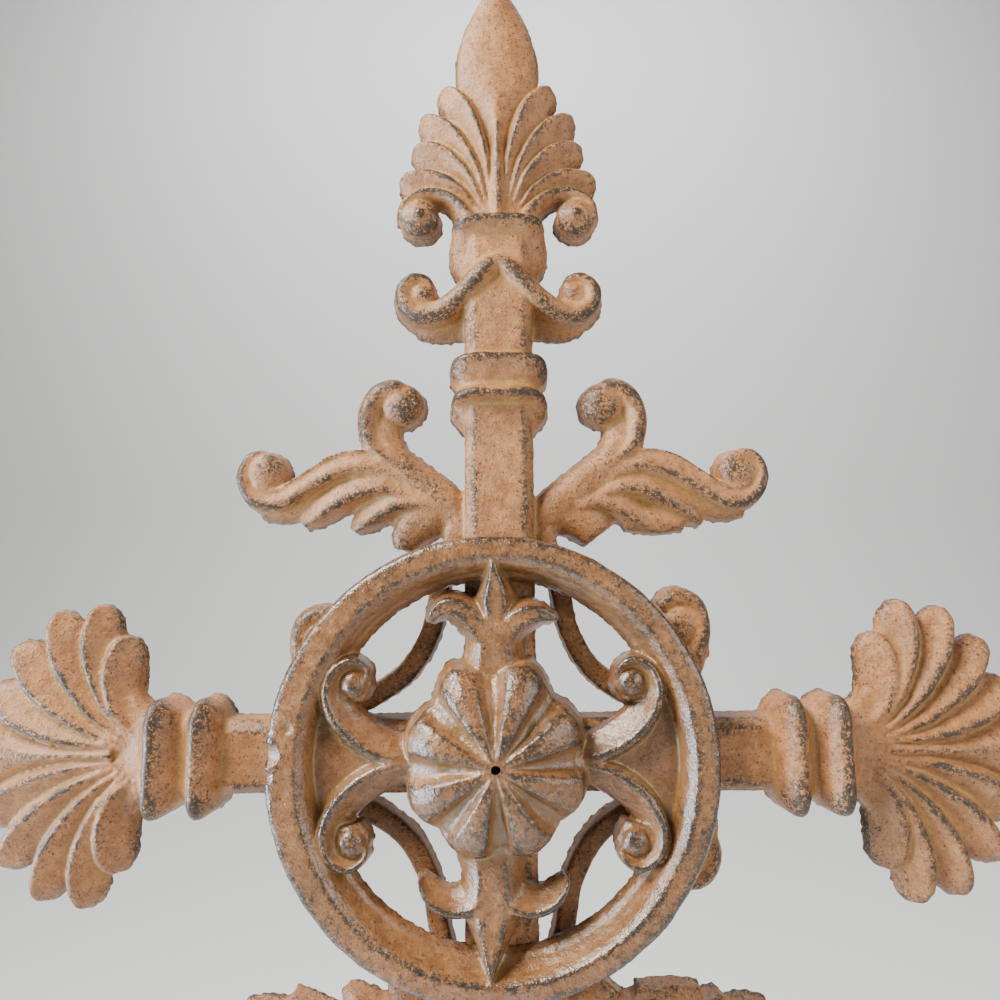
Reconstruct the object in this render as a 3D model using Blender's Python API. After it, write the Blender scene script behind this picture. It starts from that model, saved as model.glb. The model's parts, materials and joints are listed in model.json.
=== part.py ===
"""Cast iron wall cross: a flat-backed openwork casting with a round medallion laid on its crossing.

The cross is one casting with bars, collars, scrolls, leaf sprays and palmette ends.
The medallion is a second casting: a ring, a fluted rosette and four scrolled spokes.
Front faces look along -Y, the wall side is the plane y = 0, and the tip of the cross is up.
Every form is a closed body that runs a little past the back plane; the forms of one casting
are united and cut flat there in one Boolean.
"""
import math

import bmesh
import bpy
from mathutils import Vector

MM = 0.001

# Bars of the cross
BAR_WIDTH = 16.0 * MM
BAR_DEPTH = 10.0 * MM
BAR_CHAMFER = 1.8 * MM
BAR_DRAFT = 0.35 * MM

# Medallion
MEDALLION_GAP = 0.3 * MM
MEDALLION_OFFSET = -1.8 * MM
RING_RADIUS = 48.0 * MM
RING_FACE = 6.8 * MM
RING_THICKNESS = 7.7 * MM
RING_BEVEL = 3.0 * MM
ROSETTE_RADIUS = 20.4 * MM
ROSETTE_HEIGHT = 13.7 * MM
ROSETTE_PETALS = 8
ROSETTE_TURN = math.radians(3.0)
SPOKE_HEIGHT = 7.0 * MM
HOLE_RADIUS = 1.0 * MM
HOLE_DEPTH = 6.0 * MM

# Collars, and the band under each palmette
BEAD_PITCH = 8.2 * MM
BEAD_SWELL = 3.6 * MM
BEAD_RISE = 3.6 * MM
SIDE_BEAD_PITCH = 9.8 * MM
SIDE_BEAD_SWELL = 5.0 * MM
SIDE_BEAD_RISE = 5.5 * MM
BAND_LENGTH = 8.5 * MM
BAND_SWELL = 4.2 * MM
BAND_RISE = 0.5 * MM

# Relief heights of the thinner ornament
LEAF_HEIGHT = 7.0 * MM
SCROLL_HEIGHT = 7.5 * MM
SCROLL_CREST = 0.9 * MM
ARC_SETBACK = 4.0 * MM
ARC_HEIGHT = BAR_DEPTH - ARC_SETBACK
KNOB_RADIUS = 4.9 * MM

# Blade of the palmette
BLADE_LENGTH = 60.0 * MM
BLADE_WIDTH = 21.4 * MM
BLADE_HEIGHT = 6.5 * MM
BLADE_ROOT = 7.5 * MM
SIDE_BLADE_ROOT = 10.0 * MM

# Bar lengths between the ornaments, measured from the ring outwards
COLLAR_FROM_RING = 28.3 * MM
SIDE_COLLAR_FROM_RING = 10.6 * MM
UPPER_BAR_LENGTH = 25.3 * MM
LOWER_BAR_LENGTH = 106.3 * MM
SCROLL_FROM_BAND = 3.6 * MM
COLLAR_AT = RING_RADIUS + COLLAR_FROM_RING
SIDE_COLLAR_AT = RING_RADIUS + SIDE_COLLAR_FROM_RING
TOP_END_AT = COLLAR_AT + 2.0 * BEAD_PITCH + UPPER_BAR_LENGTH
BOTTOM_END_AT = COLLAR_AT + 2.0 * BEAD_PITCH + LOWER_BAR_LENGTH
SIDE_END_AT = SIDE_COLLAR_AT + 2.0 * SIDE_BEAD_PITCH

# How far the forms run past the back plane before the cut
SINK = 2.0 * MM

# Facets
STROKE_STEPS = 2
FLAT_ANGLE = math.radians(5.0)
KNOB_SIDES = 9
RING_SIDES = 56

# Frames of the arms: the direction across the arm, then the direction along it
TOP_ARM = ((1, 0), (0, 1))
BOTTOM_ARM = ((1, 0), (0, -1))
RIGHT_ARM = ((0, 1), (1, 0))
LEFT_ARM = ((0, 1), (-1, 0))


def clear_file():
    for thing in list(bpy.data.objects):
        bpy.data.objects.remove(thing, do_unlink=True)


def flipped(frame, side):
    """The same frame with its across direction turned over for side -1."""
    across, along = frame
    return ((across[0] * side, across[1] * side), along)


def spot(frame, across, along, height, back):
    """A point of a frame, at a height in front of the plane that lies `back` before the wall.

    Forms with a plane of their own belong to the medallion, which sits off the middle.
    """
    x = frame[0][0] * across + frame[1][0] * along
    z = frame[0][1] * across + frame[1][1] * along
    if back > 0.0:
        x += MEDALLION_OFFSET
    return Vector((x, -back - height, z))


def skin(mesh, sections):
    """Closes a run of equal polygons into one body."""
    rings = [[mesh.verts.new(point) for point in section] for section in sections]
    count = len(rings[0])
    for first, second in zip(rings, rings[1:]):
        for i in range(count):
            j = (i + 1) % count
            mesh.faces.new((first[i], first[j], second[j], second[i]))
    mesh.faces.new(rings[0])
    mesh.faces.new(tuple(reversed(rings[-1])))


def through(points, steps):
    """Smooth run of stations through control points, whatever values each point carries."""
    out = []
    last = len(points) - 1
    for i in range(last):
        before = points[max(i - 1, 0)]
        here = points[i]
        there = points[i + 1]
        after = points[min(i + 2, last)]
        for step in range(steps):
            t = step / steps
            station = []
            for a, b, c, d in zip(before, here, there, after):
                bend = 2 * b + (c - a) * t + (2 * a - 5 * b + 4 * c - d) * t * t
                bend += (3 * b - a - 3 * c + d) * t * t * t
                station.append(0.5 * bend)
            out.append(station)
    out.append(list(points[-1]))
    return out


def stroke(mesh, frame, points, back=0.0, crest=0.0, steps=STROKE_STEPS):
    """A round-topped band along (across, along, half width, height) points given in millimetres.

    `crest` moves the ridge off the middle of the band, from -1 to 1.
    """
    stations = through([[value * MM for value in point] for point in points], steps)
    profile = ((-1.0, None), (-0.86, 0.6), (crest, 1.0), (0.86, 0.6), (1.0, None))
    sections = []
    for i, (a, b, half, height) in enumerate(stations):
        ahead = stations[min(i + 1, len(stations) - 1)]
        behind = stations[max(i - 1, 0)]
        run = math.hypot(ahead[0] - behind[0], ahead[1] - behind[1])
        normal_a = -(ahead[1] - behind[1]) / run
        normal_b = (ahead[0] - behind[0]) / run
        section = []
        for side, rise in profile:
            reach = side * half * (1.06 if rise is None else 1.0)
            level = -SINK if rise is None else height * rise
            section.append(spot(frame, a + normal_a * reach, b + normal_b * reach, level, back))
        sections.append(section)
    skin(mesh, sections)


def knob(mesh, frame, across, along, radius, height, back=0.0):
    """A turned boss with a domed top; the place is given in millimetres."""
    profile = ((1.05, None), (1.0, 0.62), (0.72, 0.9), (0.3, 1.0))
    sections = []
    for reach, rise in profile:
        section = []
        for i in range(KNOB_SIDES):
            angle = math.tau * (i + 0.37) / KNOB_SIDES
            level = -SINK if rise is None else height * rise
            a = across * MM + radius * reach * math.cos(angle)
            b = along * MM + radius * reach * math.sin(angle)
            section.append(spot(frame, a, b, level, back))
        sections.append(section)
    skin(mesh, sections)


def chamfered(frame, along, half, height, chamfer, back=0.0):
    """One cross-section of a bar or a bead, with cut corners."""
    outline = (
        (-half - BAR_DRAFT, -SINK),
        (-half, height - chamfer),
        (-half + chamfer, height),
        (half - chamfer, height),
        (half, height - chamfer),
        (half + BAR_DRAFT, -SINK),
    )
    return [spot(frame, across, along, level, back) for across, level in outline]


def bar(mesh, frame, start, end):
    half = BAR_WIDTH / 2
    ends = (start, end)
    skin(mesh, [chamfered(frame, along, half, BAR_DEPTH, BAR_CHAMFER) for along in ends])


def bead(mesh, frame, middle, pitch, swell, rise):
    """A half-round moulding that wraps the front and the sides of a bar."""
    sections = []
    for turn in (-1.0, -0.8, -0.3, 0.3, 0.8, 1.0):
        bulge = math.sqrt(1.0 - turn * turn)
        half = BAR_WIDTH / 2 - BAR_CHAMFER / 2 + (swell + BAR_CHAMFER / 2) * bulge
        height = BAR_DEPTH - BAR_CHAMFER / 2 + (rise + BAR_CHAMFER / 2) * bulge
        along = middle + turn * pitch * 0.51
        sections.append(chamfered(frame, along, half, height, BAR_CHAMFER * 1.4))
    skin(mesh, sections)


def collar(mesh, frame, start, pitch, swell, rise):
    """Two beads side by side."""
    bead(mesh, frame, start + pitch * 0.5, pitch, swell, rise)
    bead(mesh, frame, start + pitch * 1.5, pitch, swell, rise)


def shifted(points, along, across=0.0):
    """Points moved along and across their arm by metres; the points are in millimetres."""
    return [(point[0] + across / MM, point[1] + along / MM) + tuple(point[2:]) for point in points]


def blade(mesh, frame, start):
    """The ogive blade with its midrib, narrow at the root and widest below the tip."""
    outline = (
        (0.0, 0.12),
        (0.25, 0.22),
        (0.42, 0.54),
        (0.55, 0.92),
        (0.67, 1.0),
        (0.8, 0.84),
        (0.92, 0.46),
        (1.0, 0.05),
    )
    sections = []
    for reach, breadth in outline:
        half = BLADE_WIDTH / 2 * breadth
        ridge = BLADE_HEIGHT * (1.0 - 0.35 * reach)
        edge = ridge * 0.42
        along = start + BLADE_LENGTH * reach
        section = [
            spot(frame, -half - BAR_DRAFT, along, -SINK, 0.0),
            spot(frame, -half, along, edge, 0.0),
            spot(frame, -half * 0.45, along, ridge * 0.86, 0.0),
            spot(frame, 0.0, along, ridge, 0.0),
            spot(frame, half * 0.45, along, ridge * 0.86, 0.0),
            spot(frame, half, along, edge, 0.0),
            spot(frame, half + BAR_DRAFT, along, -SINK, 0.0),
        ]
        sections.append(section)
    skin(mesh, sections)


def lobes(mesh, frame, start, roots, tips):
    """Ribs that fan out from a leaf's root to its rim, one for each root and tip."""
    rise = LEAF_HEIGHT / MM
    rib = ((0.0, 1.8, 0.62), (0.34, 3.0, 0.86), (0.7, 3.7, 0.78), (0.92, 2.7, 0.64), (1.0, 1.0, 0.45))
    for root, tip in zip(roots, tips):
        points = []
        for reach, half, share in rib:
            lean = 2.2 * math.sin(math.pi * reach)
            across = root[0] + (tip[0] - root[0]) * reach - lean * 0.7
            along = root[1] + (tip[1] - root[1]) * reach + lean
            points.append((across, along, half, rise * share))
        for side in (1, -1):
            stroke(mesh, flipped(frame, side), shifted(points, start), crest=0.35, steps=1)


def palmette(mesh, frame, start):
    """The end of the upright arms: band, a volute and four lobes on each side, and the blade."""
    bead(mesh, frame, start + BAND_LENGTH / 2, BAND_LENGTH, BAND_SWELL, BAND_RISE)
    root = start + BAND_LENGTH
    rise = LEAF_HEIGHT / MM
    body = (
        (0.0, -2.5, 8.6, rise * 1.09),
        (0.0, 6.5, 11.0, rise * 0.94),
        (0.0, 13.5, 18.0, rise * 0.63),
        (0.0, 23.5, 16.0, rise * 0.51),
        (0.0, 32.5, 11.0, rise * 0.4),
    )
    stroke(mesh, frame, shifted(body, root), steps=1)
    blade(mesh, frame, root + BLADE_ROOT)
    roots = ((2.6, 11.5), (3.4, 9.9), (4.2, 8.3), (5.0, 6.1))
    tips = ((14.0, 36.9), (19.6, 29.3), (21.6, 21.1), (24.8, 11.7))
    lobes(mesh, frame, root, roots, tips)
    volute = (
        (6.5, -0.5, 3.0, rise * 1.14),
        (9.6, 4.9, 2.3, rise * 1.09),
        (14.0, 7.9, 1.9, rise * 1.03),
        (19.0, 7.9, 1.8, rise * 0.97),
        (22.4, 4.9, 1.6, rise * 0.86),
    )
    for side in (1, -1):
        half_frame = flipped(frame, side)
        stroke(mesh, half_frame, shifted(volute, root), steps=1)
        knob(mesh, half_frame, 19.3, 2.5 + root / MM, KNOB_RADIUS * 1.06, LEAF_HEIGHT * 1.12)


def side_palmette(mesh, frame, start):
    """The end of the side arms: a fan of lobes straight after the collar, and the blade."""
    rise = LEAF_HEIGHT / MM
    body = (
        (0.0, -2.5, 8.0, rise * 1.09),
        (0.0, 4.0, 17.0, rise * 0.94),
        (0.0, 11.0, 27.0, rise * 0.63),
        (0.0, 22.0, 24.0, rise * 0.51),
        (0.0, 32.0, 12.0, rise * 0.4),
    )
    stroke(mesh, frame, shifted(body, start), steps=1)
    blade(mesh, frame, start + SIDE_BLADE_ROOT)
    roots = ((3.0, 11.0), (4.0, 9.6), (5.0, 8.2), (6.0, 6.4), (7.0, 4.4))
    tips = ((15.4, 38.4), (25.6, 32.0), (32.8, 21.6), (33.6, 10.6), (25.6, 3.4))
    lobes(mesh, frame, start, roots, tips)


def c_scrolls(mesh, frame, apex):
    """Two scrolls that spring from the middle of the bar face and curl up at its sides."""
    height = SCROLL_HEIGHT / MM
    crest = (BAR_DEPTH + SCROLL_CREST) / MM
    points = (
        (-0.6, 0.9, 1.9, crest),
        (4.6, -2.6, 2.0, crest * 0.98),
        (9.2, -7.2, 2.1, crest * 0.86),
        (14.4, -10.4, 2.2, height),
        (19.6, -10.8, 2.2, height),
        (23.0, -7.6, 2.0, height),
        (22.6, -3.4, 1.8, height * 0.9),
        (19.0, -2.6, 1.2, height * 0.7),
    )
    for side in (1, -1):
        half_frame = flipped(frame, side)
        stroke(mesh, half_frame, shifted(points, apex), steps=1)
        knob(mesh, half_frame, 18.8, apex / MM - 6.8, KNOB_RADIUS * 0.72, LEAF_HEIGHT)
        web = ((7.0, -12.2, 3.6, 3.4), (13.0, -13.6, 3.2, 3.2), (19.0, -12.4, 2.8, 3.0))
        stroke(mesh, half_frame, shifted(web, apex), steps=1)


def spray(mesh, frame):
    """One leaf spray: a bent stem with a knobbed head, a curled leaf and three lobes.

    It is measured across from the side of the bar and along from the edge of the ring.
    """
    rise = LEAF_HEIGHT / MM
    stem = (
        (-2.0, 2.0, 4.4, rise * 0.91),
        (6.6, 10.4, 5.2, rise * 1.00),
        (14.4, 16.6, 5.6, rise * 1.03),
        (20.6, 22.6, 5.0, rise * 1.03),
        (22.8, 29.6, 4.1, rise * 1.03),
        (20.4, 35.2, 3.4, rise * 1.00),
        (14.6, 36.8, 2.6, rise * 0.91),
    )
    curled_leaf = (
        (15.0, 14.0, 4.0, rise * 0.94),
        (23.0, 19.2, 3.7, rise * 0.99),
        (31.6, 18.2, 3.7, rise * 0.97),
        (39.0, 13.2, 3.6, rise * 0.97),
        (45.6, 10.2, 3.6, rise * 0.97),
        (50.8, 12.2, 3.4, rise * 0.97),
        (52.0, 17.6, 2.8, rise * 0.94),
        (48.6, 20.6, 2.2, rise * 0.86),
    )
    upper_lobe = (
        (14.0, 12.0, 3.8, rise * 0.89),
        (23.0, 14.0, 3.8, rise * 0.91),
        (30.8, 10.8, 3.6, rise * 0.89),
        (36.8, 6.6, 2.7, rise * 0.74),
        (38.8, 4.4, 1.0, rise * 0.51),
    )
    middle_lobe = (
        (6.0, 8.4, 3.8, rise * 0.86),
        (14.4, 10.6, 3.6, rise * 0.89),
        (20.8, 8.4, 3.2, rise * 0.83),
        (25.2, 5.2, 2.2, rise * 0.69),
        (26.6, 3.4, 0.8, rise * 0.49),
    )
    lower_lobe = (
        (2.0, 5.0, 4.4, rise * 0.77),
        (9.4, 5.6, 5.0, rise * 0.77),
        (14.6, 2.4, 4.4, rise * 0.69),
        (15.8, -1.2, 2.8, rise * 0.54),
    )
    strokes = (stem, curled_leaf, upper_lobe, middle_lobe, lower_lobe)
    for points in strokes:
        stroke(mesh, frame, shifted(points, RING_RADIUS, BAR_WIDTH / 2), steps=1)
    side = BAR_WIDTH / 2 / MM
    edge = RING_RADIUS / MM
    knob(mesh, frame, side + 16.4, edge + 32.8, KNOB_RADIUS, LEAF_HEIGHT * 1.1)
    knob(mesh, frame, side + 47.6, edge + 17.2, KNOB_RADIUS * 0.85, LEAF_HEIGHT)


def side_scroll(mesh, frame):
    """A small scroll that rises from the side arm behind the ring and curls towards the crossing.

    It is measured across from the edge of the ring and along from the side of the arm.
    """
    rise = ARC_HEIGHT / MM
    points = (
        (-2.6, -3.0, 3.6, rise),
        (-1.0, 7.0, 2.6, rise),
        (-0.2, 16.0, 2.5, rise),
        (-1.6, 23.4, 2.5, rise),
        (-6.4, 27.0, 2.3, rise * 0.97),
    )
    stroke(mesh, frame, shifted(points, BAR_WIDTH / 2, RING_RADIUS))
    across = RING_RADIUS / MM - 6.2
    along = BAR_WIDTH / 2 / MM + 21.6
    knob(mesh, frame, across, along, KNOB_RADIUS * 0.9, ARC_HEIGHT * 1.1)


def arc(mesh, frame):
    """A concave band that ties two arms together behind the ring, in shares of the ring's radius."""
    rise = ARC_HEIGHT / MM
    shares = (
        (0.096, 1.2),
        (0.229, 1.042),
        (0.308, 0.792),
        (0.354, 0.562),
        (0.467, 0.383),
        (0.658, 0.258),
        (0.875, 0.175),
        (1.042, 0.07),
    )
    edge = RING_RADIUS / MM
    points = [(across * edge, along * edge, 2.3, rise) for across, along in shares]
    stroke(mesh, frame, points, steps=1)


def cross_forms(mesh):
    bar(mesh, TOP_ARM, -BOTTOM_END_AT - BAND_LENGTH / 2, TOP_END_AT + BAND_LENGTH / 2)
    bar(mesh, RIGHT_ARM, -SIDE_END_AT, SIDE_END_AT)
    for frame, start in ((TOP_ARM, TOP_END_AT), (BOTTOM_ARM, BOTTOM_END_AT)):
        collar(mesh, frame, COLLAR_AT, BEAD_PITCH, BEAD_SWELL, BEAD_RISE)
        c_scrolls(mesh, frame, start - SCROLL_FROM_BAND)
        palmette(mesh, frame, start)
        for side in (1, -1):
            half_frame = flipped(frame, side)
            spray(mesh, half_frame)
            side_scroll(mesh, half_frame)
            arc(mesh, half_frame)
    for frame in (RIGHT_ARM, LEFT_ARM):
        collar(mesh, frame, SIDE_COLLAR_AT, SIDE_BEAD_PITCH, SIDE_BEAD_SWELL, SIDE_BEAD_RISE)
        side_palmette(mesh, frame, SIDE_END_AT)


def ring(mesh, back):
    """The flat-faced ring with its inner bevel."""
    outer = RING_RADIUS
    inner = RING_RADIUS - RING_FACE
    profile = (
        (outer + BAR_DRAFT, -SINK),
        (outer, RING_THICKNESS - 0.8 * MM),
        (outer - 0.8 * MM, RING_THICKNESS),
        (inner, RING_THICKNESS),
        (inner - RING_BEVEL, RING_THICKNESS * 0.35),
        (inner - RING_BEVEL - BAR_DRAFT, -SINK),
    )
    rings = []
    for i in range(RING_SIDES):
        angle = math.tau * (i + 0.5) / RING_SIDES
        section = []
        for radius, level in profile:
            place = spot(TOP_ARM, radius * math.cos(angle), radius * math.sin(angle), level, back)
            section.append(mesh.verts.new(place))
        rings.append(section)
    count = len(profile)
    for i in range(RING_SIDES):
        first = rings[i]
        second = rings[(i + 1) % RING_SIDES]
        for k in range(count):
            j = (k + 1) % count
            mesh.faces.new((first[k], first[j], second[j], second[k]))


def rosette(mesh, back):
    """A dome of rounded petals with flutes between them and a scalloped rim."""
    profile = ((1.02, None), (1.0, 0.42), (0.9, 0.66), (0.62, 0.9), (0.3, 0.99), (0.1, 1.0))
    sides = ROSETTE_PETALS * 5
    sections = []
    for reach, rise in profile:
        section = []
        for i in range(sides):
            angle = math.tau * i / sides + ROSETTE_TURN
            petal = abs(math.sin(ROSETTE_PETALS / 2 * (angle - ROSETTE_TURN))) ** 0.6
            radius = ROSETTE_RADIUS * reach * (0.88 + 0.12 * petal)
            dip = 0.13 * (1.0 - petal) * min(1.0, reach * 1.6)
            level = -SINK if rise is None else ROSETTE_HEIGHT * (rise - dip)
            section.append(spot(TOP_ARM, radius * math.cos(angle), radius * math.sin(angle), level, back))
        sections.append(section)
    skin(mesh, sections)


def spanned(points, rise):
    """Spoke points, given by their share of the way from the rosette's rim to the ring."""
    rim = ROSETTE_RADIUS / MM
    span = (RING_RADIUS - RING_FACE) / MM - rim
    return [(across, rim + share * span, half, rise * level) for across, share, half, level in points]


def fleur(mesh, frame, back, leaf, crest):
    """A spoke from the rosette to the ring: stem, two turned-out leaves and a ridged spear."""
    rise = SPOKE_HEIGHT / MM
    stem = (
        (0.0, -0.31, 7.4, 1.0),
        (0.0, -0.02, 6.6, 1.0),
        (0.0, 0.22, 6.8, 1.0),
        (0.0, crest - 0.05, 5.0, 0.9),
    )
    stroke(mesh, frame, spanned(stem, rise), back, steps=1)
    spear = (
        (0.0, 0.27, 5.0, 1.0),
        (0.0, crest, 4.4, 0.95),
        (0.0, 0.85, 3.4, 0.85),
        (0.0, 1.04, 1.6, 0.6),
    )
    stroke(mesh, frame, spanned(spear, rise), back, steps=1)
    for side in (1, -1):
        stroke(mesh, flipped(frame, side), spanned(leaf, rise), back, steps=1)


def double_scroll(mesh, frame, back):
    """A spoke that splits into two scrolls lying against the ring."""
    rise = SPOKE_HEIGHT / MM
    web = (
        (0.0, -0.26, 5.0, 0.6),
        (0.0, 0.17, 5.4, 0.6),
        (0.0, 0.51, 9.5, 0.55),
        (0.0, 0.97, 13.5, 0.5),
    )
    stroke(mesh, frame, spanned(web, rise), back, steps=1)
    horn = (
        (2.2, 0.08, 2.0, 0.8),
        (5.0, 0.38, 2.1, 0.9),
        (9.6, 0.63, 2.1, 1.0),
        (15.0, 0.73, 2.0, 1.0),
        (19.4, 0.63, 1.8, 0.95),
        (19.8, 0.41, 1.4, 0.85),
    )
    eye = spanned(((16.4, 0.51, 0.0, 1.0),), rise)[0]
    for side in (1, -1):
        half_frame = flipped(frame, side)
        stroke(mesh, half_frame, spanned(horn, rise), back, steps=1)
        knob(mesh, half_frame, eye[0], eye[1], KNOB_RADIUS * 0.66, SPOKE_HEIGHT * 1.05, back)


def medallion_forms(mesh):
    back = BAR_DEPTH + MEDALLION_GAP
    ring(mesh, back)
    rosette(mesh, back)
    upper_leaf = (
        (2.0, 0.27, 3.6, 0.95),
        (6.2, 0.54, 3.5, 1.0),
        (10.4, 0.58, 3.0, 0.9),
        (14.0, 0.47, 1.2, 0.7),
    )
    lower_leaf = (
        (2.0, 0.3, 4.0, 0.95),
        (7.0, 0.43, 3.0, 1.0),
        (12.0, 0.37, 2.4, 0.9),
        (15.2, 0.17, 1.0, 0.7),
    )
    fleur(mesh, TOP_ARM, back, upper_leaf, 0.7)
    fleur(mesh, BOTTOM_ARM, back, lower_leaf, 0.56)
    double_scroll(mesh, RIGHT_ARM, back)
    double_scroll(mesh, LEFT_ARM, back)


def box(name, low, high):
    """A hidden cutter between two corners."""
    mesh = bpy.data.meshes.new(name)
    work = bmesh.new()
    corners = [
        work.verts.new((x, y, z))
        for x in (low[0], high[0])
        for y in (low[1], high[1])
        for z in (low[2], high[2])
    ]
    for face in ((0, 1, 3, 2), (4, 6, 7, 5), (0, 4, 5, 1), (2, 3, 7, 6), (0, 2, 6, 4), (1, 5, 7, 3)):
        work.faces.new([corners[i] for i in face])
    bmesh.ops.recalc_face_normals(work, faces=work.faces)
    work.to_mesh(mesh)
    work.free()
    return hidden(name, mesh)


def pin(name, radius, low, high):
    """A hidden round cutter along Y."""
    mesh = bpy.data.meshes.new(name)
    work = bmesh.new()
    sections = []
    for y in (low, high):
        turns = [math.tau * (i + 0.5) / KNOB_SIDES for i in range(KNOB_SIDES)]
        place = [(radius * math.cos(turn), radius * math.sin(turn)) for turn in turns]
        sections.append([Vector((x + MEDALLION_OFFSET, y, z)) for x, z in place])
    skin(work, sections)
    bmesh.ops.recalc_face_normals(work, faces=work.faces)
    work.to_mesh(mesh)
    work.free()
    return hidden(name, mesh)


def hidden(name, mesh):
    cutter = bpy.data.objects.new(name, mesh)
    bpy.context.scene.collection.objects.link(cutter)
    cutter.hide_render = True
    cutter.display_type = "WIRE"
    return cutter


def cut(thing, operation, cutter, use_self=False):
    modifier = thing.modifiers.new(cutter.name, "BOOLEAN")
    modifier.operation = operation
    modifier.solver = "EXACT"
    modifier.use_self = use_self
    modifier.object = cutter


def merge_flats(thing):
    """Joins neighbouring facets that lie almost in one plane."""
    modifier = thing.modifiers.new("merge_flats", "DECIMATE")
    modifier.decimate_type = "DISSOLVE"
    modifier.angle_limit = FLAT_ANGLE


def casting(name, fill, back, material):
    """One casting: its forms united and cut flat at the plane `back` before the wall."""
    mesh = bpy.data.meshes.new(name)
    work = bmesh.new()
    fill(work)
    bmesh.ops.recalc_face_normals(work, faces=work.faces)
    work.to_mesh(mesh)
    work.free()
    mesh.materials.append(material)
    thing = bpy.data.objects.new(name, mesh)
    bpy.context.scene.collection.objects.link(thing)
    reach = 2.0 * BOTTOM_END_AT
    depth = 4.0 * (BAR_DEPTH + ROSETTE_HEIGHT)
    front = box("front_of_" + name, (-reach, -back - depth, -reach), (reach, -back, reach))
    cut(thing, "INTERSECT", front, use_self=True)
    return thing


def iron(name, colour, roughness):
    material = bpy.data.materials.new(name)
    material.use_nodes = True
    shader = material.node_tree.nodes["Principled BSDF"]
    shader.inputs["Base Color"].default_value = (*colour, 1.0)
    shader.inputs["Metallic"].default_value = 0.2
    shader.inputs["Roughness"].default_value = roughness
    return material


def main():
    clear_file()
    cross = casting("cross", cross_forms, 0.0, iron("cross_iron", (0.36, 0.22, 0.13), 0.55))
    merge_flats(cross)
    back = BAR_DEPTH + MEDALLION_GAP
    medallion = casting("medallion", medallion_forms, back, iron("medallion_iron", (0.32, 0.2, 0.12), 0.5))
    top = -back - ROSETTE_HEIGHT
    hole = pin("rosette_hole", HOLE_RADIUS, top - MM, top + HOLE_DEPTH)
    cut(medallion, "DIFFERENCE", hole)
    merge_flats(medallion)


main()
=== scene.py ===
"""Looks of the cast iron wall cross: fine castings, antiqued paint, studio light and camera.

Each casting is gathered from closed forms, fused by a voxel remesh, roughened like sand-cast
iron and given a wear map. Lengths are in millimetres until a casting becomes a mesh.
"""
import json
import math

import bmesh
import bpy
import numpy as np
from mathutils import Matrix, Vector, kdtree, noise

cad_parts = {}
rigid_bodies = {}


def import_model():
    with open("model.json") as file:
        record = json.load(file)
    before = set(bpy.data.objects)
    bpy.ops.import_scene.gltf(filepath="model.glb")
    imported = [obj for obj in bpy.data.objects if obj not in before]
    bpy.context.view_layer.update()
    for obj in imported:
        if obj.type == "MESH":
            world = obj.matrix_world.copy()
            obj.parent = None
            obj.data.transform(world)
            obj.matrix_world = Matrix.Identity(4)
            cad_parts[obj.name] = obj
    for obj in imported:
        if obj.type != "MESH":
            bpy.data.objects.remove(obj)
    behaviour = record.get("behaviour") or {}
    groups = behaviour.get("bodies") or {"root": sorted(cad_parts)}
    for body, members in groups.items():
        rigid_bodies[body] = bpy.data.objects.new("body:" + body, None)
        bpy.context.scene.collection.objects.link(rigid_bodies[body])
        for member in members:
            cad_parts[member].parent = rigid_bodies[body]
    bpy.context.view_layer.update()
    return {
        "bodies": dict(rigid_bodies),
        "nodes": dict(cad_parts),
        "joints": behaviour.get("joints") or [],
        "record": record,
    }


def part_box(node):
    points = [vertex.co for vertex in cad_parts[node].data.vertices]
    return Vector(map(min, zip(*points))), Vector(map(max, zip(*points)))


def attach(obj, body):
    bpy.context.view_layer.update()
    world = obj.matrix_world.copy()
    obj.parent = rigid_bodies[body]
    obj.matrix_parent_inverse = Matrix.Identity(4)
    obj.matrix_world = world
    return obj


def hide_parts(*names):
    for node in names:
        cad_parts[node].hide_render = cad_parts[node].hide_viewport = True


MM = 0.001

# Bars, collars and bands
BAR_HALF = 8.0
BAR_DEPTH = 10.0
BAR_EDGE = 2.1
MOULDING_EDGE = 5.0
MOULDING_STEPS = 8
COLLAR_AT = 76.3
SIDE_COLLAR_AT = 58.6
SIDE_END_AT = 78.2
TOP_END_AT = 118.0
BOTTOM_END_AT = 199.0
BAND_LENGTH = 8.5

# Medallion
RING_RADIUS = 48.5
RING_FACE = 6.4
RING_THICKNESS = 8.2
MEDALLION_BACK = 10.3
MEDALLION_OFFSET = -1.7
ROSETTE_OFFSET = 0.6
ROSETTE_RADIUS = 20.4
ROSETTE_HEIGHT = 13.7
PETALS = 8
PETAL_TURN = math.radians(3.0)
HOLE_RADIUS = 1.0
HOLE_DEPTH = 6.0

# Relief heights
LEAF = 7.0
SPOKE = 7.0
UNDER_RING = 6.0

# How far the paint is rubbed through, its brightness, roughness and shine on each casting; the
# medallion's lower brightness is painted shade
PAINT = {"cross": (0.0, 0.78, 0.5, 0.34), "medallion": (0.04, 0.5, 0.33, 0.62)}

# Meshing
CROSS_VOXEL = 0.42
MEDALLION_VOXEL = 0.32
CROSS_TRIANGLES = 192000
MEDALLION_TRIANGLES = 150000
CROSS_SEED = 1
MEDALLION_SEED = 7
BOX_MARGIN = 0.01
BACK_MARGIN = 0.02
SHARP_ANGLE = math.radians(60.0)

# Waves and grain of the cast surface as (depth, size), and how ragged its back edge is
SURFACE = ((0.16, 5.0), (0.1, 1.7), (0.05, 0.9))
RAGGED_OUT = 0.22
RAGGED_DEPTH = 0.5
RAGGED_SIZE = 1.3
EDGE_HEIGHT = 1.8
FOOT_HEIGHT = 0.4

# Smoothing passes: relief is measured against about RELIEF_REACH / voxel**2 of them
SOFT_PASSES = 3
RELIEF_REACH = 4.0
SWELL_PASSES = 34

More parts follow.
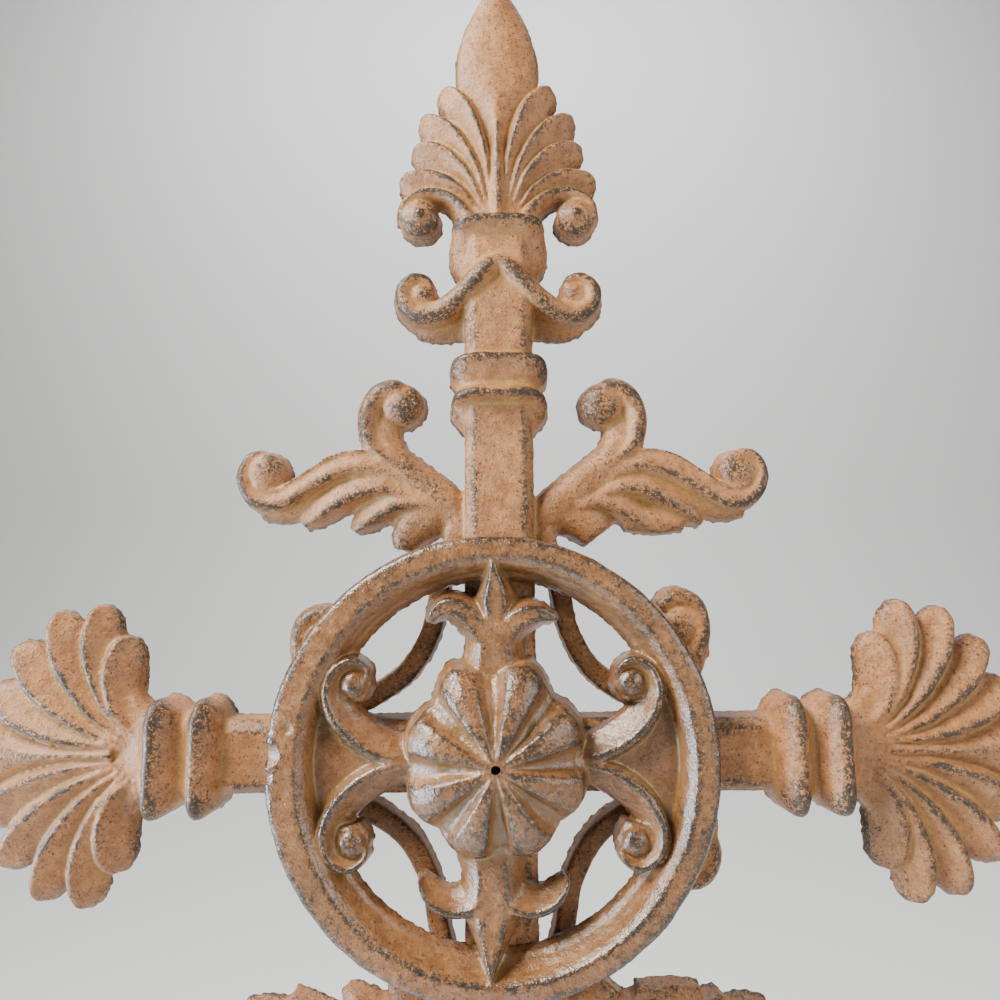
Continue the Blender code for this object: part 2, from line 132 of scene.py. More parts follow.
# Wear grows from WORN_LEAST below WORN_FROM above a casting's back to all of it WORN_OVER higher
WORN_FROM = 5.2
WORN_OVER = 1.6
WORN_LEAST = 0.2

# A chip and two dents on the ring's left edge, as (place, radius, depth)
CHIPS = (
    ((-49.2, -18.2, 2.2), 2.6, 1.2),
    ((-45.2, -18.4, 7.6), 1.3, 0.5),
    ((-49.3, -17.4, -2.2), 1.8, 0.7),
)

# Mouldings as (along, half width, height), from the ring outwards
COLLAR = (
    (-2.6, 7.9, 7.2),
    (-1.4, 9.2, 7.8),
    (0.2, 10.6, 8.3),
    (1.9, 11.5, 8.8),
    (3.4, 11.7, 9.5),
    (4.4, 11.5, 11.2),
    (5.2, 11.1, 13.0),
    (6.0, 10.6, 13.5),
    (6.9, 9.9, 12.8),
    (7.9, 10.0, 11.5),
    (9.0, 10.9, 11.2),
    (10.4, 11.6, 11.7),
    (11.8, 11.7, 12.3),
    (13.0, 11.5, 13.0),
    (14.0, 11.1, 13.6),
    (14.9, 10.3, 13.5),
    (15.5, 9.3, 12.2),
    (16.0, 7.6, 10.0),
)
SIDE_COLLAR = (
    (1.6, 7.8, 9.4),
    (2.2, 9.6, 11.0),
    (3.6, 11.4, 13.2),
    (4.9, 12.4, 14.5),
    (6.1, 12.9, 15.1),
    (7.1, 12.8, 15.0),
    (8.0, 12.1, 14.0),
    (8.9, 10.9, 12.2),
    (10.2, 10.0, 11.2),
    (11.4, 10.4, 11.6),
    (13.0, 11.5, 13.2),
    (14.6, 12.5, 14.6),
    (16.0, 12.9, 15.1),
    (17.0, 12.8, 14.9),
    (17.9, 11.9, 13.7),
    (18.9, 10.3, 11.8),
    (20.4, 8.8, 10.2),
)
LEFT_COLLAR_SHIFT = 1.3
SPRAY_SHIFT = 0.8

TOP_ARM = ((1, 0), (0, 1))
BOTTOM_ARM = ((1, 0), (0, -1))
RIGHT_ARM = ((0, 1), (1, 0))
LEFT_ARM = ((0, 1), (-1, 0))

# How far each side scroll sits from its drawn place, as (along, across) by (upper, side)
SCROLL_PLACES = {
    (True, 1): (0.0, 0.0),
    (True, -1): (-3.0, 0.0),
    (False, 1): (-6.0, 0.4),
    (False, -1): (-4.0, -2.0),
}
SCROLL_LENGTH = 30.0


class Casting:
    """Closed bodies of one casting, on a flat back that lies `back` before the wall."""

    def __init__(self, back=0.0, shift=0.0):
        self.back = back
        self.shift = shift
        self.points = []
        self.faces = []

    def spot(self, frame, across, along, height):
        x = frame[0][0] * across + frame[1][0] * along + self.shift
        z = frame[0][1] * across + frame[1][1] * along
        return (x, -self.back - height, z)

    def skin(self, sections):
        """Closes a run of equal polygons into one body."""
        base = len(self.points)
        count = len(sections[0])
        for section in sections:
            self.points.extend(section)
        for k in range(len(sections) - 1):
            low = base + k * count
            for i in range(count):
                j = (i + 1) % count
                self.faces.append((low + i, low + j, low + count + j, low + count + i))
        self.faces.append(tuple(range(base, base + count)))
        last = base + (len(sections) - 1) * count
        self.faces.append(tuple(range(last, last + count)))


def flipped(frame, side):
    across, along = frame
    return ((across[0] * side, across[1] * side), along)


def through(points, steps):
    """Smooth run of stations through control points, whatever values each point carries."""
    out = []
    last = len(points) - 1
    for i in range(last):
        before = points[max(i - 1, 0)]
        here = points[i]
        there = points[i + 1]
        after = points[min(i + 2, last)]
        for step in range(steps):
            t = step / steps
            station = []
            for a, b, c, d in zip(before, here, there, after):
                bend = 2 * b + (c - a) * t + (2 * a - 5 * b + 4 * c - d) * t * t
                bend += (3 * b - a - 3 * c + d) * t * t * t
                station.append(0.5 * bend)
            out.append(station)
    out.append(list(points[-1]))
    return out


def arch(crest=0.0, wall=0.5, power=2.0, skirts=(0.1, 0.1), count=14):
    """(side, share of height) pairs over a band, from one foot to the other."""
    points = [(-1.0 - skirts[0], 0.0)]
    for i in range(count + 1):
        side = -math.cos(math.pi * i / count)
        reach = 1.0 - crest if side > crest else 1.0 + crest
        away = min(1.0, abs(side - crest) / reach)
        rise = wall + (1.0 - wall) * (1.0 - away**power) ** (1.0 / power)
        points.append((side, rise))
    points.append((1.0 + skirts[1], 0.0))
    return points


def stroke(casting, frame, points, profile=None, steps=7):
    """A band along (across, along, half width, height) control points."""
    profile = profile or arch()
    stations = through(points, steps)
    sections = []
    for i, (a, b, half, height) in enumerate(stations):
        ahead = stations[min(i + 1, len(stations) - 1)]
        behind = stations[max(i - 1, 0)]
        run = math.hypot(ahead[0] - behind[0], ahead[1] - behind[1])
        normal_a = -(ahead[1] - behind[1]) / run
        normal_b = (ahead[0] - behind[0]) / run
        section = []
        for side, rise in profile:
            reach = side * max(half, 0.05)
            place = casting.spot(frame, a + normal_a * reach, b + normal_b * reach, height * rise)
            section.append(place)
        sections.append(section)
    casting.skin(sections)


def shifted(points, along, across=0.0):
    return [(point[0] + across, point[1] + along) + tuple(point[2:]) for point in points]


def boss(casting, frame, across, along, radius, height, nipple=0.0, sides=40, flat=0.42):
    """A turned boss: straight wall, then a dome, with an optional nipple on top."""
    profile = [(1.08, 0.0)]
    for i in range(9):
        angle = math.pi / 2 * i / 8
        profile.append((math.cos(angle) * 0.97 + 0.03, flat + (1.0 - flat) * math.sin(angle)))
    if nipple:
        profile[-1] = (0.3, 0.985)
        profile.append((0.2, 1.0 + nipple * 0.8))
        profile.append((0.06, 1.0 + nipple))
    sections = []
    for reach, rise in profile:
        section = []
        for i in range(sides):
            angle = math.tau * i / sides
            a = across + radius * reach * math.cos(angle)
            b = along + radius * reach * math.sin(angle)
            section.append(casting.spot(frame, a, b, height * rise))
        sections.append(section)
    casting.skin(sections)


def rounded_box(casting, frame, stations, radius=BAR_EDGE, steps=1):
    """A body with cut or rounded edges on an arm, from (along, half width, height) stations."""
    sections = []
    for along, half, height in stations:
        corner = [
            (half - radius + radius * math.sin(turn), height - radius + radius * math.cos(turn))
            for turn in (math.pi / 2 * (1.0 - i / steps) for i in range(steps + 1))
        ]
        outline = [(-half - 0.3, 0.0)]
        outline += [(-across, level) for across, level in corner]
        outline += corner[::-1]
        outline.append((half + 0.3, 0.0))
        sections.append([casting.spot(frame, across, along, level) for across, level in outline])
    casting.skin(sections)


def collar(casting, frame, start, stations):
    """A run of mouldings round a bar, from (along, half width, height) after `start`."""
    run = [(start + along, half, height) for along, half, height in stations]
    rounded_box(casting, frame, through(run, 4), MOULDING_EDGE, MOULDING_STEPS)


def blade(casting, frame, root, length, half_width, height):
    """The ogive blade with its midrib, narrow at the root and widest below the tip."""
    outline = (
        (0.0, 0.14, 0.0),
        (0.14, 0.2, 0.6),
        (0.28, 0.3, 0.9),
        (0.4, 0.52, 0.8),
        (0.47, 0.8, 0.5),
        (0.54, 0.97, 0.3),
        (0.64, 0.98, 0.08),
        (0.73, 0.89, 0.0),
        (0.82, 0.72, 0.0),
        (0.91, 0.48, 0.0),
        (0.96, 0.31, 0.0),
        (0.99, 0.15, 0.0),
        (1.0, 0.04, 0.0),
    )
    sections = []
    for reach, breadth, keel in through(outline, 5):
        half = max(half_width * breadth, 0.1)
        ridge = height * (1.0 - 0.35 * reach)
        section = [casting.spot(frame, -half - 0.3, root + length * reach, 0.0)]
        for i in range(19):
            side = -math.cos(math.pi * i / 18)
            swell = 0.34 + 0.58 * max(0.0, 1.0 - side * side) ** 0.6
            swell += 0.09 * keel * max(0.0, 1.0 - (side * 2.0) ** 2) ** 1.5
            section.append(casting.spot(frame, side * half, root + length * reach, ridge * swell))
        section.append(casting.spot(frame, half + 0.3, root + length * reach, 0.0))
        sections.append(section)
    casting.skin(sections)


# Section of a leaf's lobe: a ridge near one edge that falls away to the other, like a shingle
SHINGLE = (
    (-1.12, 0.0),
    (-1.0, 0.36),
    (-0.8, 0.5),
    (-0.4, 0.63),
    (0.0, 0.78),
    (0.26, 0.9),
    (0.46, 0.98),
    (0.6, 1.0),
    (0.74, 0.96),
    (0.87, 0.84),
    (0.98, 0.64),
    (1.06, 0.36),
    (1.12, 0.0),
)


def lobes(casting, frame, start, roots, tips, width=3.6):
    """Ribs that overlap like shingles, fanning out from a leaf's root to its rim."""
    rib = (
        (-0.3, 0.3, 0.72),
        (0.0, 0.46, 0.86),
        (0.3, 0.78, 0.98),
        (0.64, 1.0, 0.94),
        (0.86, 0.92, 0.8),
        (0.96, 0.6, 0.62),
        (1.0, 0.22, 0.46),
    )
    for root, tip in zip(roots, tips):
        points = []
        for reach, half, share in rib:
            lean = 2.6 * math.sin(math.pi * reach)
            across = root[0] + (tip[0] - root[0]) * reach - lean * 0.7
            along = root[1] + (tip[1] - root[1]) * reach + lean
            points.append((max(across, 0.9), along, half * width, LEAF * share))
        for side in (1, -1):
            stroke(casting, flipped(frame, side), shifted(points, start), SHINGLE)


def palmette(casting, frame, start):
    """Band, volutes, four lobes a side and the blade, at the ends of the upright."""
    band = (
        (start - 7.6, BAR_HALF - 0.4, 7.0),
        (start - 5.6, BAR_HALF + 1.4, 7.4),
        (start - 3.0, BAR_HALF + 3.1, 7.8),
        (start - 0.2, BAR_HALF + 4.0, 8.2),
        (start + 2.6, BAR_HALF + 4.1, 8.8),
        (start + 4.6, BAR_HALF + 3.6, 10.0),
        (start + 5.9, BAR_HALF + 3.4, 11.9),
        (start + 7.0, BAR_HALF + 3.0, 12.9),
        (start + 8.0, BAR_HALF + 2.0, 12.6),
        (start + 8.8, BAR_HALF - 0.2, 10.4),
    )
    rounded_box(casting, frame, through(band, 3), MOULDING_EDGE, MOULDING_STEPS)
    root = start + BAND_LENGTH
    body = (
        (0.0, -2.0, 8.6, LEAF * 1.12),
        (0.0, 3.0, 7.6, LEAF * 0.96),
        (0.0, 8.5, 10.0, LEAF * 0.72),
        (0.0, 14.5, 16.2, LEAF * 0.5),
        (0.0, 23.5, 15.4, LEAF * 0.4),
        (0.0, 32.5, 10.4, LEAF * 0.3),
    )
    stroke(casting, frame, shifted(body, root), arch(wall=0.6))
    rib = (
        (0.0, -1.0, 2.6, LEAF * 1.16),
        (0.0, 4.0, 1.9, LEAF * 1.12),
        (0.0, 10.0, 1.7, LEAF * 1.08),
        (0.0, 18.0, 1.6, LEAF * 1.02),
        (0.0, 27.0, 1.3, LEAF * 0.96),
    )
    stroke(casting, frame, shifted(rib, root), arch(wall=0.5, power=2.4))
    blade(casting, frame, root + 7.5, 60.0, 10.7, 7.0)
    roots = ((2.9, 8.6), (4.0, 7.0), (5.0, 5.6), (6.2, 4.0))
    tips = ((14.3, 38.2), (19.8, 29.8), (21.8, 21.2), (25.0, 12.0))
    lobes(casting, frame, root, roots, tips)
    volute = (
        (6.2, -2.5, 3.2, LEAF * 1.1),
        (8.4, 3.2, 2.3, LEAF * 1.12),
        (12.6, 7.2, 1.8, LEAF * 1.1),
        (18.2, 8.2, 1.7, LEAF * 1.06),
        (22.8, 5.8, 1.6, LEAF * 1.0),
        (24.0, 1.6, 1.4, LEAF * 0.92),
    )
    for side in (1, -1):
        half_frame = flipped(frame, side)
        stroke(casting, half_frame, shifted(volute, root), arch(crest=0.2, power=1.6))
        boss(casting, half_frame, 19.3, root + 1.9, 4.9, LEAF * 1.1, nipple=0.16, flat=0.66)


def side_palmette(casting, frame):
    """The fan and blade at the end of a side arm."""
    body = (
        (0.0, -2.0, 8.0, LEAF * 1.2),
        (0.0, 4.0, 11.0, LEAF * 0.9),
        (0.0, 13.0, 22.0, LEAF * 0.6),
        (0.0, 24.0, 21.0, LEAF * 0.48),
        (0.0, 32.0, 12.0, LEAF * 0.36),
    )
    stroke(casting, frame, shifted(body, SIDE_END_AT), arch(wall=0.6))
    blade(casting, frame, SIDE_END_AT + 10.0, 60.0, 10.7, 7.0)
    roots = ((3.0, 10.4), (4.0, 9.2), (5.0, 8.0), (5.8, 6.6), (6.4, 5.2))
    tips = ((15.4, 39.4), (25.2, 34.2), (32.4, 25.4), (34.0, 15.4), (26.4, 8.6))
    lobes(casting, frame, SIDE_END_AT, roots, tips, width=4.3)


def c_scrolls(casting, frame, apex):
    """Two ribs that spring from the middle of the bar face and curl up at its sides."""
    points = (
        (-1.2, 1.4, 2.2, 11.2),
        (2.4, -0.6, 2.6, 12.2),
        (5.6, -3.6, 2.8, 12.0),
        (9.0, -7.2, 2.8, 10.9),
        (13.8, -10.3, 2.8, 9.4),
        (18.8, -11.1, 2.6, 8.6),
        (22.2, -9.0, 2.4, 8.3),
        (22.9, -5.2, 2.2, 8.1),
        (20.6, -2.4, 1.9, 7.8),
        (17.4, -2.6, 1.4, 7.2),
        (16.2, -5.0, 0.8, 6.4),
    )
    floor = (
        (9.0, -9.0, 3.4, 3.4),
        (14.0, -10.4, 3.2, 3.6),
        (18.6, -7.4, 4.4, 3.6),
        (19.0, -5.4, 3.0, 3.4),
    )
    skirt = (
        (7.0, -12.4, 3.2, 4.0),
        (12.6, -14.0, 2.4, 3.4),
        (17.6, -13.8, 2.2, 3.0),
        (22.0, -11.0, 1.6, 2.4),
    )
    rib = arch(crest=-0.15, wall=0.6, power=2.3, skirts=(0.3, 0.1))
    for side in (1, -1):
        half_frame = flipped(frame, side)
        stroke(casting, half_frame, shifted(points, apex), rib)
        boss(casting, half_frame, 18.8, apex - 6.3, 3.6, 7.9, flat=0.6)
        stroke(casting, half_frame, shifted(floor, apex), arch(wall=0.7))
        stroke(casting, half_frame, shifted(skirt, apex), arch(crest=0.6, wall=0.4))


# Sections of the spray's leaves, from the lower edge to the upper one
OVERHANG = (
    (-1.1, 0.0),
    (-1.0, 0.3),
    (-0.88, 0.56),
    (-0.74, 0.82),
    (-0.58, 0.96),
    (-0.38, 1.0),
    (-0.05, 0.94),
    (0.4, 0.8),
    (0.8, 0.62),
    (1.0, 0.46),
    (1.1, 0.0),
)
RIMMED = (
    (-1.16, 0.0),
    (-1.0, 0.5),
    (-0.92, 0.76),
    (-0.74, 0.93),
    (-0.4, 1.0),
    (0.0, 0.97),
    (0.4, 0.9),
    (0.66, 0.86),
    (0.8, 0.92),
    (0.9, 0.97),
    (0.98, 0.88),
    (1.03, 0.6),
    (1.08, 0.0),
)


def spray(casting, frame, shift):
    """One leaf spray: stem with a volute head, curled leaf and three lobes.

    The right one has a shorter lower lobe, and its edge is filled between the other two.
    """
    fuller = shift >= 0.0

    def leaf_stroke(points, profile):
        stroke(casting, frame, shifted(points, 0.0, shift), profile)

    stem = (
        (6.0, 50.0, 4.6, 6.0),
        (13.4, 57.0, 4.7, 6.6),
        (20.4, 62.8, 4.6, 6.9),
        (26.0, 67.8, 4.2, 6.7),
        (28.6, 72.4, 4.2, 6.1),
        (28.8, 77.0, 4.2, 5.6),
        (26.6, 80.6, 4.0, 5.6),
    )
    leaf_stroke(stem, arch(wall=0.5, power=1.9))
    outer_rib = (
        (22.0, 64.4, 1.6, 6.6),
        (27.4, 67.8, 2.2, 7.1),
        (31.2, 71.4, 2.5, 7.3),
        (32.2, 75.4, 2.6, 7.5),
        (31.8, 79.8, 2.8, 7.7),
        (29.0, 83.6, 3.2, 7.9),
        (25.4, 84.2, 3.2, 7.9),
        (22.6, 82.8, 1.6, 7.0),
    )
    leaf_stroke(outer_rib, arch(crest=-0.05, wall=0.42, power=2.1))
    boss(casting, frame, 24.0 + shift, 81.0, 5.3, 8.3, flat=0.5)
    leaf = (
        (23.0, 63.4, 3.2, 6.2),
        (30.0, 66.6, 3.1, 6.9),
        (38.6, 66.2, 3.2, 7.0),
        (46.4, 61.8, 2.9, 7.0),
        (53.0, 58.0, 2.8, 7.0),
        (58.4, 58.8, 2.6, 7.1),
        (61.0, 63.2, 2.3, 7.1),
        (59.6, 67.6, 2.1, 6.8),
        (56.4, 69.0, 1.4, 6.0),
    )
    leaf_stroke(leaf, RIMMED)
    skirt = (
        (38.0, 63.0, 3.6, 4.6),
        (46.0, 58.6, 3.4, 4.4),
        (52.0, 55.6, 2.6, 4.0),
        (57.6, 56.0, 2.2, 3.6),
    )
    leaf_stroke(skirt, arch(wall=0.7))
    boss(casting, frame, 56.2 + shift, 64.7, 5.1, 7.5, flat=0.55)
    upper_lobe = (
        (20.0, 58.6, 2.8, 6.2),
        (27.6, 61.8, 3.7, 6.8),
        (34.6, 61.0, 4.2, 7.0),
        (40.8, 57.8, 4.0, 6.8),
        (45.0, 54.6, 3.1, 6.1),
        (47.6, 52.4, 1.5, 4.6),
    )
    middle_lobe = (
        (12.0, 55.2, 3.0, 5.8),
        (19.0, 58.0, 3.7, 6.5),
        (25.6, 57.8, 4.0, 6.7),
        (30.8, 55.0, 3.6, 6.3),
        (34.0, 52.4, 2.6, 5.6),
        (35.4, 50.8, 1.3, 4.2),
    )
    lower_lobe = (
        (9.0, 53.0, 3.6, 5.2),
        (15.0, 54.4, 4.4, 5.9),
        (20.0, 52.4, 4.8, 5.8),
        (22.6, 49.4, 4.0, 5.4),
        (23.6, 46.2, 2.4, 4.4),
    )
    leaf_stroke(upper_lobe, OVERHANG)
    leaf_stroke(middle_lobe, OVERHANG)
    leaf_stroke(lower_lobe[:4] if fuller else lower_lobe, arch(crest=0.2, wall=0.45, power=2.2))
    if fuller:
        between = ((29.0, 53.4, 2.8, 4.8), (36.0, 53.0, 3.1, 4.9), (43.0, 53.0, 2.5, 4.6))
        leaf_stroke(between, arch(wall=0.7))
    web = (
        (12.0, 53.0, 4.0, 4.2),
        (22.0, 58.0, 6.4, 4.4),
        (32.0, 61.4, 6.0, 4.4),
        (42.0, 60.0, 4.0, 4.2),
    )
    leaf_stroke(web, arch(wall=0.7))


def side_scroll(casting, frame, lift, shift):
    """A small scroll that rises from the side arm and curls in behind the ring.

    `lift` moves its head along and leaves its foot on the arm, and `shift` moves all of it across.
    """
    points = (
        (42.0, 5.0, 3.6, 6.0),
        (42.8, 14.0, 2.9, 6.3),
        (45.2, 21.6, 2.7, 6.6),
        (46.6, 28.4, 2.6, 6.8),
        (44.6, 33.4, 2.6, 6.9),
        (40.4, 34.6, 2.5, 6.8),
        (37.0, 32.4, 2.0, 6.4),
    )
    moved = [
        (across + shift, along + lift * along / SCROLL_LENGTH, half, height)
        for across, along, half, height in points
    ]
    stroke(casting, frame, moved, arch(crest=-0.1, wall=0.45, power=2.0))
    boss(casting, frame, 42.0 + shift, 28.8 + lift, 5.4, 7.0, flat=0.45)
    floor = ((46.0, 20.0, 3.0, 4.4), (43.6, 27.0, 5.0, 5.0), (41.6, 31.0, 5.0, 5.0))
    stroke(casting, frame, shifted(floor, lift, shift), arch(wall=0.7))


def arc(casting, frame):
    """A concave band that ties two arms together behind the ring."""
    run = (
        (4.6, 57.6),
        (10.4, 49.6),
        (13.8, 38.0),
        (16.0, 27.4),
        (21.4, 18.2),
        (30.6, 12.0),
        (41.6, 8.2),
        (50.0, 3.4),
    )
    points = [(across, along, 2.3, UNDER_RING) for across, along in run]
    stroke(casting, frame, points, arch(wall=0.82, power=3.0))


def cross_casting():
    casting = Casting()
    ends = ((-BOTTOM_END_AT - 4.0, BAR_HALF, BAR_DEPTH), (TOP_END_AT + 4.0, BAR_HALF, BAR_DEPTH))
    rounded_box(casting, TOP_ARM, ends)
    ends = [(side * SIDE_END_AT, BAR_HALF, BAR_DEPTH) for side in (-1, 1)]
    rounded_box(casting, RIGHT_ARM, ends)
    for frame, start in ((TOP_ARM, TOP_END_AT), (BOTTOM_ARM, BOTTOM_END_AT)):
        collar(casting, frame, COLLAR_AT, COLLAR)
        c_scrolls(casting, frame, start - 3.6)
        palmette(casting, frame, start)
        for side in (1, -1):
            half_frame = flipped(frame, side)
            spray(casting, half_frame, side * SPRAY_SHIFT)
            lift, shift = SCROLL_PLACES[frame is TOP_ARM, side]
            side_scroll(casting, half_frame, lift, shift)
            arc(casting, half_frame)
    for frame in (RIGHT_ARM, LEFT_ARM):
        reach = LEFT_COLLAR_SHIFT if frame is LEFT_ARM else 0.0
        collar(casting, frame, SIDE_COLLAR_AT + reach, SIDE_COLLAR)
        side_palmette(casting, frame)
    return casting


def ring(casting):
    """The ring: drafted outer wall, flat face, a narrow facet inside it and a hollowed slope."""
    outer = RING_RADIUS
    top = RING_THICKNESS
    rim = (
        (0.3, 0.0),
        (0.1, top * 0.55),
        (-0.1, top - 1.3),
        (-0.5, top - 0.5),
        (-1.2, top - 0.12),
        (-2.2, top),
    )
    facet = (
        (1.6, top),
        (0.5, top + 0.02),
        (0.1, top - 0.3),
        (-0.6, top - 0.95),
        (-1.3, top - 1.65),
        (-1.8, top - 2.7),
    )
    slope = (
        (-2.5, top * 0.36),
        (-3.6, top * 0.26),
        (-4.4, 0.0),
    )
    sides = 240
    base = len(casting.points)
    count = len(rim) + len(facet) + len(slope)
    for i in range(sides):
        angle = math.tau * i / sides
        # The face is widest at the left, and the facet is steeper towards the bottom
        inner = outer - RING_FACE + 0.7 * math.cos(angle) + 1.2 * math.sin(angle) ** 2
        steep = 1.0 - 0.5 * max(0.0, -math.sin(angle)) ** 2
        profile = [(outer + reach, level) for reach, level in rim]
        for reach, level in facet:
            profile.append((inner + (reach * steep if reach < 0.0 else reach), level))
        profile += [(inner + reach, level) for reach, level in slope]
        for radius, level in profile:
            across = radius * math.cos(angle)
            along = radius * math.sin(angle)
            casting.points.append(casting.spot(TOP_ARM, across, along, level))
    for i in range(sides):
        here = base + i * count
        there = base + (i + 1) % sides * count
        for k in range(count):
            j = (k + 1) % count
            casting.faces.append((here + k, here + j, there + j, there + k))


def rosette(casting):
    """A dome of rounded petals with flat flutes between them and a scalloped rim."""
    rows = [(1.03, 0.0), (1.015, 0.2), (1.0, 0.34), (0.99, 0.4), (0.975, 0.46)]
    for i in range(1, 26):
        t = i / 26
        reach = 0.97 * math.cos(t * math.pi / 2) ** 0.78
        rows.append((reach, 0.46 + 0.54 * math.sin(t * math.pi / 2) ** 0.92))
    rows.append((0.03, 0.995))
    sides = PETALS * 32
    sections = []
    for reach, rise in rows:
        flute = 0.2 * min(1.0, max(0.0, reach - 0.05) * 2.2)
        lip = math.exp(-(((reach - 0.955) / 0.03) ** 2))
        section = []
        for i in range(sides):
            angle = math.tau * i / sides
            # 0 in the flute between two petals and 1 on a petal's middle
            across_petal = abs((PETALS * angle / math.tau + 0.5) % 1.0 - 0.5) * 2.0
            wall = min(1.0, max(0.0, (across_petal - 0.15) / 0.42))
            wall = wall * wall * (3.0 - 2.0 * wall)
            crown = max(0.0, 1.0 - (1.0 - across_petal) ** 2.0)
            petal = wall * (0.62 + 0.38 * crown)
            petal = petal + lip * 0.3 * (1.0 - petal)
            scallop = 1.0 - 0.09 * (1.0 - across_petal ** 0.6) * min(1.0, reach * 1.1)
            upper = math.exp(-(((abs(math.degrees(angle) - 90.0) - 22.0) / 15.0) ** 2))
            radius = ROSETTE_RADIUS * reach * scallop * (1.0 + 0.11 * upper * reach * reach)
            level = 0.0
            if rise > 0.0:
                level = ROSETTE_HEIGHT * max(0.0, rise - flute * (1.0 - petal) + 0.02 * lip)
            turned = angle + PETAL_TURN
            across = radius * math.cos(turned) + ROSETTE_OFFSET
            section.append(casting.spot(TOP_ARM, across, radius * math.sin(turned), level))
        sections.append(section)
    casting.skin(sections)


# Sections of the fleurs: a narrow flat face between wide drafted flanks, and a leaf with its
# crest towards the outer edge
DRAFTED = (
    (-1.08, 0.0),
    (-1.0, 0.42),
    (-0.82, 0.66),
    (-0.58, 0.9),
    (-0.46, 0.99),
    (-0.2, 1.0),
    (0.0, 0.985),
    (0.2, 1.0),
    (0.46, 0.99),
    (0.58, 0.9),
    (0.82, 0.66),
    (1.0, 0.42),
    (1.08, 0.0),
)
HORN = (
    (-1.1, 0.0),
    (-1.0, 0.36),
    (-0.7, 0.5),
    (-0.35, 0.64),
    (-0.05, 0.8),
    (0.2, 0.95),
    (0.36, 1.0),
    (0.58, 0.99),
    (0.74, 0.94),
    (0.88, 0.78),
    (1.0, 0.5),
    (1.08, 0.0),
)


def fleur(casting, frame, stem, leaves, spear, profile):
    """A spoke from the rosette to the ring: drafted stem, two turned-out leaves and a spear."""
    stroke(casting, frame, stem, DRAFTED)
    stroke(casting, frame, spear, DRAFTED)
    for side, leaf in zip((1, -1), leaves):
        stroke(casting, flipped(frame, side), leaf, profile)


def double_scroll(casting, frame):
    """A spoke that splits into two scrolls lying against the ring."""
    web = (
        (0.0, 15.0, 4.6, SPOKE * 0.62),
        (0.0, 23.0, 4.4, SPOKE * 0.6),
        (0.0, 28.0, 6.0, SPOKE * 0.54),
        (0.0, 33.0, 10.0, SPOKE * 0.48),
        (0.0, 40.5, 14.5, SPOKE * 0.44),
    )
    stroke(casting, frame, web, arch(wall=0.7))
    horn = (
        (1.4, 17.0, 3.0, SPOKE * 0.86),
        (2.7, 23.0, 3.3, SPOKE * 0.92),
        (5.4, 28.2, 3.5, SPOKE * 1.0),
        (9.4, 32.4, 3.3, SPOKE * 1.05),
        (14.4, 34.5, 3.0, SPOKE * 1.07),
        (18.6, 33.6, 2.6, SPOKE * 1.05),
        (20.5, 30.6, 2.2, SPOKE * 1.0),
        (19.2, 27.9, 1.6, SPOKE * 0.9),
        (17.4, 27.4, 0.8, SPOKE * 0.8),
    )
    for side in (1, -1):
        half_frame = flipped(frame, side)
        stroke(casting, half_frame, horn, HORN)
        boss(casting, half_frame, 16.4, 30.1, 2.9, SPOKE * 0.98, flat=0.72)
        floor = ((13.0, 31.4, 3.2, 5.0), (16.4, 30.8, 4.6, 5.4), (19.4, 30.8, 3.2, 5.0))
        stroke(casting, half_frame, floor, arch(wall=0.7))


